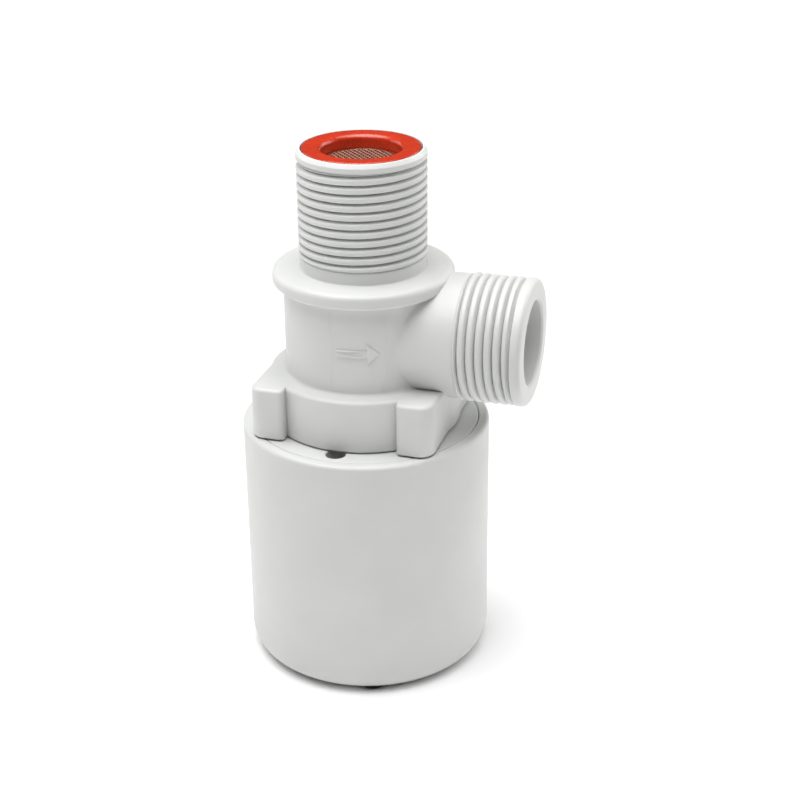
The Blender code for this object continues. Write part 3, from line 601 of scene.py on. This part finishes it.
def turned_brass():
    """Turned brass: warm metal with fine cutter marks and a little tarnish."""
    return finish("turned_brass", "brass", roughness=0.28, spread=0.09, grain_mm=0.4, bump_mm=0.005,
                  drift=0.22, patch_mm=3.0, metallic=1.0)


def closed_cell_foam():
    """Moulded closed-cell foam: matte skin with beads of about 2 mm."""
    return finish("moulded_white_foam", "foam", roughness=0.75, spread=0.08, grain_mm=2.0, bump_mm=0.10,
                  drift=0.05, patch_mm=6.0, ior=1.45)


def painted_floor():
    """Matte studio paint: almost even, with a barely darker cloud here and there."""
    return finish("painted_floor", "floor", roughness=0.9, spread=0.02, grain_mm=40.0, bump_mm=0.0,
                  drift=0.012, patch_mm=300.0)


# ---- operators ----


class VALVE_OT_body(Operator):
    """Moulded valve body: skirt, barrel, collar, threaded inlet and threaded side outlet"""
    bl_idname = "valve.body"
    bl_label = "Valve body"

    def execute(self, context):
        body, thread = context.scene.valve_body, context.scene.valve_thread
        skirt_top = BODY_LOW[2] + body.skirt_height
        height = skirt_top + body.outlet_rise
        end_z, end_x = BODY_HIGH[2], BODY_HIGH[0]
        roof_gap, plug, sunk, short = 0.0004, 0.0047, 0.0007, 0.0006
        land, taper, throat_low, throat_high, inner_round = 0.0009, 0.0012, 0.0015, 0.003, 0.0008
        mouth_bevel, bevel_low, bevel_high, off_tube = 0.0006, 0.0004, 0.0002, 0.0005
        inner_seat = end_z - body.seat_depth
        roof = height + body.outlet_bore + roof_gap
        seat = height - body.seat_drop
        step = COVER_HIGH[2] - plug
        barrel_bore = body.barrel_radius - body.barrel_wall
        skirt_bore = body.skirt_radius - body.skirt_wall
        skin = body_core("valve_body_skin", body, thread)
        for side in (-1.0, 1.0):
            boolean(skin, cheek("cheek", body, side), "UNION")
        neck_top = skirt_top + body.barrel_height + body.collar_height + body.neck_height
        rod = threaded_rod("inlet_rod", neck_top - sunk, inner_seat - short, thread, thread.phase)
        boolean(skin, rod, "UNION")
        branch = branch_skin("branch", body, thread, height)
        rod = threaded_rod("outlet_rod", body.outlet_start - sunk, end_x - body.outlet_band, thread)
        boolean(branch, along_x(rod, height), "UNION")
        boolean(skin, branch, "UNION")
        water = revolve("waterway", rounded([
            (0, BODY_LOW[2] - PAST), (skirt_bore, BODY_LOW[2] - PAST), (skirt_bore, step),
            (barrel_bore, step, PLAIN), (barrel_bore, roof, inner_round), (body.seat_tube, roof, inner_round),
            (body.seat_tube, seat + taper), (body.seat_bore + land, seat, CRISP),
            (body.seat_bore, seat, CRISP), (body.seat_bore, roof + throat_low),
            (body.inlet_bore, roof + throat_high), (body.inlet_bore, inner_seat),
            (body.seat_radius, inner_seat), (body.seat_radius, end_z + PAST), (0, end_z + PAST),
        ], steps=4), columns=128)
        boolean(skin, water, "DIFFERENCE")
        bore_start, mouth = body.seat_tube + off_tube, body.outlet_bore + mouth_bevel
        bore = revolve("bore", rounded([
            (0, bore_start), (body.outlet_bore, bore_start), (body.outlet_bore, end_x - bevel_low, PLAIN),
            (mouth, end_x + bevel_high), (mouth, end_x + PAST), (0, end_x + PAST),
        ], steps=4), columns=128)
        boolean(skin, along_x(bore, height), "DIFFERENCE")
        publish(soften(skin), "valve_body", HOUSING, white_abs())
        return {"FINISHED"}


class VALVE_OT_marks(Operator):
    """Raised flow arrow and the faint pad under it, both bent round the barrel"""
    bl_idname = "valve.marks"
    bl_label = "Flow arrow"

    def execute(self, context):
        body, mark = context.scene.valve_body, context.scene.valve_mark
        skirt_top = BODY_LOW[2] + body.skirt_height
        radius = body.barrel_radius
        shaft_share, head_share, above_axis, arrow_edge, pad_edge = 0.34, 1.15, 0.0004, 0.00012, 0.00004
        middle = skirt_top + body.outlet_rise + above_axis
        half, tip = mark.length / 2.0, mark.width / 2.0
        shaft = tip * shaft_share
        neck = half - tip * head_share
        arrow = np.array([
            (-half, -shaft), (neck, -shaft), (neck, -tip), (half, 0.0),
            (neck, tip), (neck, shaft), (-half, shaft),
        ])
        plate = raised_plate("flow_arrow", arrow, radius, mark.relief, mark.angle, middle, arrow_edge)
        publish(soften(plate, 30.0), None, HOUSING, white_abs())
        w, low, high, corner = 0.0058, -0.0086, 0.0100, 0.0004
        pad = rounded([(-w, low, corner), (w, low, corner), (w, high, corner), (-w, high, corner)], True, 4)
        plate = raised_plate("arrow_pad", pad, radius, mark.pad_relief, mark.angle, middle, pad_edge)
        publish(soften(plate, 30.0), None, HOUSING, white_abs())
        return {"FINISHED"}


def raised_plate(name, outline, radius, relief, angle, height, edge):
    """Low plate on a barrel: the outline (s, t) goes to angle + s / radius and height + t.

    Rings of the outline stand at rising radii, each split along its sides so that it follows the curve, and
    the last ring is drawn in by the edge; the top and the hidden back are one face each, cut into triangles.
    """
    piece, buried = 0.0006, 0.0004
    ahead = np.roll(outline, -1, axis=0)
    lengths = np.linalg.norm(ahead - outline, axis=1)
    parts = np.maximum(1, np.ceil(lengths / piece)).astype(int)
    ring = np.concatenate([a + (b - a) * np.linspace(0, 1, n, endpoint=False)[:, None]
                           for a, b, n in zip(outline, ahead, parts)])
    side = unit(unit(np.roll(ring, -1, axis=0) - ring) + unit(ring - np.roll(ring, 1, axis=0)))
    inward = np.stack([-side[:, 1], side[:, 0]], 1)
    rings = [(ring, -buried), (ring, relief - edge), (ring + inward * edge, relief)]
    layers = []
    for points, lift in rings:
        a = angle + points[:, 0] / radius
        r = radius + lift
        layers.append(np.stack([r * np.cos(a), r * np.sin(a), height + points[:, 1]], 1))
    count = len(ring)
    faces = grid_faces(3, count)
    faces.append(list(range(count - 1, -1, -1)))
    faces.append(list(range(2 * count, 3 * count)))
    plate = mesh_object(name, np.concatenate(layers), faces)
    bm = bmesh.new()
    bm.from_mesh(plate.data)
    bmesh.ops.triangulate(bm, faces=[f for f in bm.faces if len(f.verts) > 4], ngon_method="EAR_CLIP")
    bm.to_mesh(plate.data)
    bm.free()
    return plate


class VALVE_OT_chamber(Operator):
    """Float chamber with its ribs and drain seat, and the lid with the water hole"""
    bl_idname = "valve.chamber"
    bl_label = "Float chamber"

    def execute(self, context):
        size_of = context.scene.valve_chamber
        radius, top = BUCKET_HIGH[0], BUCKET_HIGH[2]
        lid_flange, lid_edge, slope, boss_wall, bevel = 0.0024, 0.00035, 0.0008, 0.0012, 0.0004
        lid_under = LID_LOW[2] + lid_flange
        inner, rebate = radius - size_of.wall, radius - size_of.rim
        ledge = lid_under - size_of.gap
        inner_fillet = size_of.fillet - 0.0025
        bucket = revolve("float_chamber", rounded([
            (0, 0), (radius, 0, size_of.fillet), (radius, top, size_of.rim_round), (rebate, top, PLAIN),
            (rebate, ledge), (inner, ledge), (inner, size_of.floor, inner_fillet), (0, size_of.floor),
        ], steps=10), columns=256)
        middle = (CHECK_LOW + CHECK_HIGH) / 2.0
        x, y = middle[0], middle[1]
        head = span("drain_check")[0]
        boss = round_bar("boss", head + boss_wall, size_of.floor - CLEAR, size_of.drain_boss, x, y)
        boolean(bucket, boss, "UNION")
        aim = math.atan2(y, x)
        for k in range(4):
            boolean(bucket, rib(size_of, aim + math.radians(45.0 + 90.0 * k)), "UNION")
        pocket = round_bar("pocket", head + size_of.gap, -PAST, size_of.drain_seat, x, y)
        boolean(bucket, pocket, "DIFFERENCE")
        hole = round_bar("hole", size_of.drain_hole, 0.0005, size_of.drain_boss + PAST, x, y)
        boolean(bucket, hole, "DIFFERENCE")
        publish(soften(bucket), "float_bucket", HOUSING, white_abs())

        lid_top, lid_r = LID_HIGH[2], LID_HIGH[0]
        spigot_r = inner - size_of.gap
        lid = revolve("chamber_lid", rounded([
            (LID_BORE, lid_under), (lid_r - size_of.spigot - slope, lid_under, PLAIN),
            (spigot_r - size_of.spigot, LID_LOW[2]), (spigot_r, LID_LOW[2], PLAIN),
            (spigot_r, lid_under), (lid_r, lid_under), (lid_r, lid_top, lid_edge), (LID_BORE, lid_top),
        ], True), loop=True, columns=256)
        a = size_of.hole_angle
        x, y = size_of.hole_at * math.cos(a), size_of.hole_at * math.sin(a)
        hole_r, bevel_r = size_of.hole_radius, size_of.hole_radius + bevel
        cutter = revolve("lid_cutter", rounded([
            (0, LID_LOW[2] - PAST), (hole_r, LID_LOW[2] - PAST), (hole_r, lid_top - bevel / 2.0),
            (bevel_r, lid_top + bevel / 2.0), (bevel_r, lid_top + PAST), (0, lid_top + PAST),
        ]), columns=72, centre=(x, y))
        boolean(lid, cutter, "DIFFERENCE")
        publish(soften(lid), "bucket_lid", HOUSING, white_abs())
        return {"FINISHED"}


def rib(size_of, aim):
    """Radial floor rib: the eight corners of a block, turned to its direction."""
    start, end, half, sunk = 0.0050, 0.0198, 0.0008, 0.0005
    u = np.array([start, end])
    v = np.array([-half, half])
    w = np.array([size_of.floor - sunk, FLOAT_LOW[2] - CLEAR])
    grid = np.stack(np.meshgrid(u, v, w, indexing="ij"), -1).reshape(-1, 3)
    co = np.stack([grid[:, 0] * math.cos(aim) - grid[:, 1] * math.sin(aim),
                   grid[:, 0] * math.sin(aim) + grid[:, 1] * math.cos(aim), grid[:, 2]], -1)
    faces = [[0, 1, 3, 2], [4, 6, 7, 5], [0, 4, 5, 1], [2, 3, 7, 6], [0, 2, 6, 4], [1, 5, 7, 3]]
    return mesh_object("rib", co, faces)


class VALVE_OT_drain(Operator):
    """Black rubber drain check in the chamber's floor"""
    bl_idname = "valve.drain"
    bl_label = "Drain check"

    def execute(self, context):
        middle = (CHECK_LOW + CHECK_HIGH) / 2.0
        head, low, top = span("drain_check")
        head_top, bulb_low, dent_top = low + 0.0012, top - 0.0009, low + 0.0002
        dent, dent_rim, stem, bulb, head_round, bulb_round = 0.0012, 0.0015, 0.0011, 0.0021, 0.0004, 0.0006
        check = revolve("drain_check_rubber", rounded([
            (0, dent_top), (dent, dent_top, CRISP), (dent_rim, low), (head, low, head_round),
            (head, head_top, CRISP), (stem, head_top, CRISP), (stem, bulb_low), (bulb, bulb_low, CRISP),
            (bulb, top, bulb_round), (0, top),
        ], steps=5), columns=72, centre=(middle[0], middle[1]))
        publish(soften(check), "drain_check", "drain_valve", black_rubber())
        return {"FINISHED"}


class VALVE_OT_strainer(Operator):
    """Red flanged strainer cup in the inlet"""
    bl_idname = "valve.strainer"
    bl_label = "Strainer cup"

    def execute(self, context):
        cup = context.scene.valve_strainer
        top, flange_r = CUP_HIGH[2], CUP_HIGH[0]
        base, shelf = CUP_LOW[2], top - cup.flange
        tube_r = context.scene.valve_body.inlet_bore - CLEAR
        shoulder = reach("strainer_mesh")[0][2] - CLEAR
        lean, mouth_round = 0.0003, 0.0011
        skin = revolve("strainer_cup", rounded([
            (flange_r, shelf, SHARP), (flange_r, top, PLAIN), (cup.mouth - lean, top, mouth_round),
            (cup.bore, shoulder), (cup.ledge, shoulder, CRISP), (cup.ledge, base, CRISP),
            (tube_r, base, PLAIN), (tube_r, shelf),
        ], True, 10), loop=True, columns=192)
        publish(soften(skin), "inlet_strainer", HOUSING, red_nylon())
        return {"FINISHED"}


class VALVE_OT_mesh(Operator):
    """Plain-woven stainless mesh in the strainer"""
    bl_idname = "valve.mesh"
    bl_label = "Strainer mesh"

    def execute(self, context):
        """Wire i of one set lies at s = i * pitch and rides up and down as radius * cos(pi t / pitch + pi i);
        in the other set the sign is turned, so the two pass over and under each other."""
        cup = context.scene.valve_strainer
        low, high = reach("strainer_mesh")
        inset, band, half_band = 0.0002, 0.0006, 0.0002
        radius, outside = high[0] - inset, high[0]
        inside = radius - band
        height = (low[2] + high[2]) / 2.0
        foot, head = height - half_band, height + half_band
        count = int(radius / cup.pitch)
        steps_per_wire, columns = 8, 96
        verts, faces, start = [], [], 0
        rim = rounded([(inside, foot, SHARP), (outside, foot, SHARP),
                       (outside, head, SHARP), (inside, head, SHARP)], True, 2)
        for i in range(-count, count + 1):
            s = i * cup.pitch
            half = math.sqrt(radius ** 2 - s ** 2) - CLEAR
            t = np.linspace(-half, half, max(6, int(half / cup.pitch * steps_per_wire)))
            for sign in (1.0, -1.0):
                lift = sign * cup.wire * np.cos(np.pi * (t / cup.pitch + i))
                flat = (t, np.full_like(t, s)) if sign > 0 else (np.full_like(t, s), t)
                co, quads = tube(np.stack([*flat, height + lift], -1), cup.wire)
                verts.append(co)
                faces += [[q + start for q in face] for face in quads]
                start += len(co)
        a = np.linspace(0.0, 2.0 * np.pi, columns, endpoint=False)
        grid = np.stack([rim[:, 0:1] * np.cos(a), rim[:, 0:1] * np.sin(a), rim[:, 1:2] + 0.0 * a], -1)
        verts.append(grid.reshape(-1, 3))
        faces += [[q + start for q in face] for face in grid_faces(len(rim), columns, True)]
        mesh = mesh_object("woven_mesh", np.concatenate(verts), faces)
        publish(soften(mesh, 60.0), "strainer_mesh", HOUSING, woven_steel())
        return {"FINISHED"}


class VALVE_OT_spring(Operator):
    """Coil spring under the piston, built at one length; the real spring shortens as the piston comes down"""
    bl_idname = "valve.spring"
    bl_label = "Piston spring"

    def execute(self, context):
        """At a share s of the coil the turn is 2 pi n s, and the height goes as s - k sin(2 pi s) / (2 pi),
        so that the turns lie closer together at both ends."""
        coil = context.scene.valve_spring
        low, high = reach("piston_spring")
        radius = high[0] - coil.wire
        s = np.linspace(0.0, 1.0, 420)
        swept = 2.0 * np.pi * coil.turns * s
        rise = s - coil.closing * np.sin(2.0 * np.pi * s) / (2.0 * np.pi)
        height = low[2] + coil.wire + (high[2] - low[2] - 2.0 * coil.wire) * rise
        path = np.stack([radius * np.cos(swept), radius * np.sin(swept), height], -1)
        wire = mesh_object("piston_coil", *tube(path, coil.wire, 12))
        publish(soften(wire, 60.0), "piston_spring", HOUSING, drawn_steel())
        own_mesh(wire)
        return {"FINISHED"}


class VALVE_OT_works(Operator):
    """Turned pieces hidden inside: float, piston, seals, retainer, gasket, O-ring and bleed pin"""
    bl_idname = "valve.works"
    bl_label = "Inner works"

    def execute(self, context):
        for node, outline, loop, body, made, slot in inner_works():
            low, high = reach(node)
            middle = (low + high) / 2.0
            skin = revolve(node + "_fine", rounded(outline, loop, 5), loop, columns=128, centre=middle[:2])
            publish(soften(skin), node, body, made())
        return {"FINISHED"}


def inner_works():
    """Node, outline in metres, whether it is a loop, body, finish and slot of each turned inner piece."""
    bore, crown, wall = 0.0030, 0.0030, 0.0026
    groove_low, groove_height, groove_depth = 0.0016, 0.0024, 0.0016
    cap_bore, cap_stem, cap_head = 0.0010, 0.0027, 0.0015
    lip_inside, lip_throat, lip_heel, lip_dip, lip_lean = 0.0109, 0.0116, 0.0112, 0.0009, 0.0003
    pin_r, float_round, crown_round, top_round, cap_round = 0.0005, 0.0015, 0.0006, 0.0005, 0.0006
    float_r, float_low, float_top = span("float")
    piston_r, low, top = span("piston")
    under_crown = top - crown
    skirt_r, groove_r = piston_r - wall, piston_r - groove_depth
    groove = low + groove_low
    groove_top = groove + groove_height
    seal_r, seal_low, seal_top = span("main_seal")
    cap_r, cap_low, cap_top = span("seal_retainer")
    under_cap = cap_top - cap_head
    lip_r, lip_low, lip_top = span("piston_lip_seal")
    ring_r, ring_low, ring_top = span("cover_o_ring")
    gasket_r, gasket_low, gasket_top = span("lid_gasket")
    pin_low, pin_top = span("bleed_pin")[1:]
    wire = (ring_top - ring_low) / 2.0
    a = np.linspace(0.0, 2.0 * np.pi, 20, endpoint=False)
    ring = list(zip(ring_r - wire + wire * np.cos(a), (ring_top + ring_low) / 2.0 + wire * np.sin(a)))
    return [
        ("piston", [
            (bore, top), (bore, under_crown), (skirt_r, under_crown, crown_round),
            (skirt_r, low), (piston_r, low, PLAIN), (piston_r, groove), (groove_r, groove),
            (groove_r, groove_top), (piston_r, groove_top), (piston_r, top, top_round),
        ], True, "main_piston", white_abs, "white_plastic"),
        ("main_seal", [
            (bore, seal_low), (seal_r, seal_low, PLAIN), (seal_r, seal_top, PLAIN), (bore, seal_top),
        ], True, "main_piston", black_rubber, "black_rubber"),
        ("seal_retainer", [
            (cap_bore, cap_low), (cap_stem, cap_low, CRISP), (cap_stem, under_cap),
            (cap_r, under_cap, CRISP), (cap_r, cap_top, cap_round), (cap_bore, cap_top),
        ], True, "main_piston", turned_brass, "brass"),
        ("piston_lip_seal", [
            (lip_inside, lip_low, CRISP), (lip_r, lip_low, CRISP), (lip_r, lip_top, CRISP),
            (lip_r - lip_lean, lip_top, SHARP), (lip_throat, lip_top - lip_dip, SHARP),
            (lip_heel, lip_top, SHARP), (lip_inside, lip_top, SHARP),
        ], True, "main_piston", black_rubber, "black_rubber"),
        ("cover_o_ring", ring, True, HOUSING, black_rubber, "black_rubber"),
        ("lid_gasket", [
            (LID_BORE, gasket_low), (gasket_r, gasket_low, CRISP), (gasket_r, gasket_top, CRISP),
            (LID_BORE, gasket_top),
        ], True, HOUSING, black_rubber, "black_rubber"),
        ("bleed_pin", [
            (0, pin_low), (pin_r, pin_low), (pin_r, pin_top, CRISP), (0, pin_top),
        ], False, HOUSING, drawn_steel, "stainless_steel"),
        ("float", [
            (0, float_low), (float_r, float_low, float_round), (float_r, float_top, float_round),
            (0, float_top),
        ], False, "float_unit", closed_cell_foam, "white_foam"),
    ]


class VALVE_OT_finishes(Operator):
    """Finishes for the CAD pieces that stay as they are"""
    bl_idname = "valve.finishes"
    bl_label = "Finishes"

    def execute(self, context):
        kept = {
            "lower_cover": white_abs, "pilot_lever": white_abs, "float_yoke": white_abs,
            "pilot_nozzle": turned_brass, "lever_pin": drawn_steel,
            "yoke_screw_a": drawn_steel, "yoke_screw_b": drawn_steel, "pilot_pad": black_rubber,
        }
        for node, made in kept.items():
            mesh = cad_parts[node].data
            mesh.materials.clear()
            mesh.materials.append(made())
        return {"FINISHED"}


class VALVE_OT_stage(Operator):
    """Pale floor, soft studio lights, a background that the camera sees as white, and the camera"""
    bl_idname = "valve.stage"
    bl_label = "Studio"

    def execute(self, context):
        scene = context.scene
        studio = scene.valve_studio
        half = studio.floor_half
        corners = [(-half, -half, 0.0), (half, -half, 0.0), (half, half, 0.0), (-half, half, 0.0)]
        mesh = bpy.data.meshes.new("floor")
        mesh.from_pydata(corners, [], [(0, 1, 2, 3)])
        floor = bpy.data.objects.new("floor", mesh)
        scene.collection.objects.link(floor)
        mesh.materials.append(painted_floor())

        world = bpy.data.worlds.new("studio")
        world.use_nodes = True
        back = world.node_tree.nodes["Background"]
        back.inputs["Color"].default_value = (1.0, 1.0, 1.0, 1.0)
        seen = add(world.node_tree, "ShaderNodeLightPath")
        strength = add(world.node_tree, "ShaderNodeMath", {1: 1.0 - studio.ambient, 2: studio.ambient},
                       {0: (seen, "Is Camera Ray")}, operation="MULTIPLY_ADD")
        world.node_tree.links.new(strength.outputs[0], back.inputs["Strength"])
        scene.world = world
        scene.view_settings.view_transform = "Standard"

        side = np.array([math.cos(studio.azimuth), math.sin(studio.azimuth), 0.0])
        near = np.array([math.sin(studio.azimuth), -math.cos(studio.azimuth), 0.0])
        up = np.array([0.0, 0.0, 1.0])
        aim = side * studio.aside + up * studio.aim
        for name, kind, (across, nearer, above), width, power in LIGHTS:
            place = across * side + nearer * near + above * up
            lamp = bpy.data.lights.new(name, kind)
            if kind == "SUN":
                lamp.angle = width
            else:
                lamp.size = width
            lamp.energy = power
            obj = bpy.data.objects.new(name, lamp)
            scene.collection.objects.link(obj)
            point_at(obj, place, aim if kind == "AREA" else 0.0 * up)

        data = bpy.data.cameras.new("camera")
        data.lens = studio.lens
        data.sensor_width = 36.0
        data.clip_start, data.clip_end = 0.01, 20.0
        camera = bpy.data.objects.new("camera", data)
        scene.collection.objects.link(camera)
        level = near * math.cos(studio.pitch) + up * math.sin(studio.pitch)
        point_at(camera, aim + level * studio.distance, aim, studio.roll)
        scene.camera = camera
        return {"FINISHED"}


def point_at(obj, place, target, roll=0.0):
    """Puts an object at a place with its -Z axis on the target and +Y up, turned by roll about that axis."""
    back = np.array(place, float) - np.array(target, float)
    back /= np.linalg.norm(back)
    right = np.cross([0.0, 0.0, 1.0], back)
    right /= np.linalg.norm(right)
    up = np.cross(back, right)
    x = right * math.cos(roll) + up * math.sin(roll)
    y = up * math.cos(roll) - right * math.sin(roll)
    matrix = np.eye(4)
    matrix[:3, 0], matrix[:3, 1], matrix[:3, 2], matrix[:3, 3] = x, y, back, place
    obj.matrix_world = Matrix(matrix.tolist())


OPERATORS = (
    VALVE_OT_body, VALVE_OT_marks, VALVE_OT_chamber, VALVE_OT_drain, VALVE_OT_strainer, VALVE_OT_mesh,
    VALVE_OT_spring, VALVE_OT_works, VALVE_OT_finishes, VALVE_OT_stage,
)


class VALVE_PT_panel(Panel):
    """Lists the pieces of the float valve"""
    bl_idname = "VALVE_PT_panel"
    bl_label = "Float valve"
    bl_space_type = "VIEW_3D"
    bl_region_type = "UI"
    bl_category = "Float valve"

    def draw(self, context):
        for kind in OPERATORS:
            self.layout.operator(kind.bl_idname)
        for key, kind in GROUPS.items():
            box = self.layout.box()
            for prop in kind.__annotations__:
                box.prop(getattr(context.scene, key), prop)


CLASSES = (*GROUPS.values(), *OPERATORS, VALVE_PT_panel)


def register():
    for kind in CLASSES:
        bpy.utils.register_class(kind)
    for key, kind in GROUPS.items():
        setattr(bpy.types.Scene, key, PointerProperty(type=kind))


def unregister():
    for key in GROUPS:
        delattr(bpy.types.Scene, key)
    for kind in reversed(CLASSES):
        bpy.utils.unregister_class(kind)


def main():
    register()
    bpy.ops.valve.body()
    bpy.ops.valve.marks()
    bpy.ops.valve.chamber()
    bpy.ops.valve.drain()
    bpy.ops.valve.strainer()
    bpy.ops.valve.mesh()
    bpy.ops.valve.spring()
    bpy.ops.valve.works()
    bpy.ops.valve.finishes()
    bpy.ops.valve.stage()


if __name__ == "__main__":
    main()
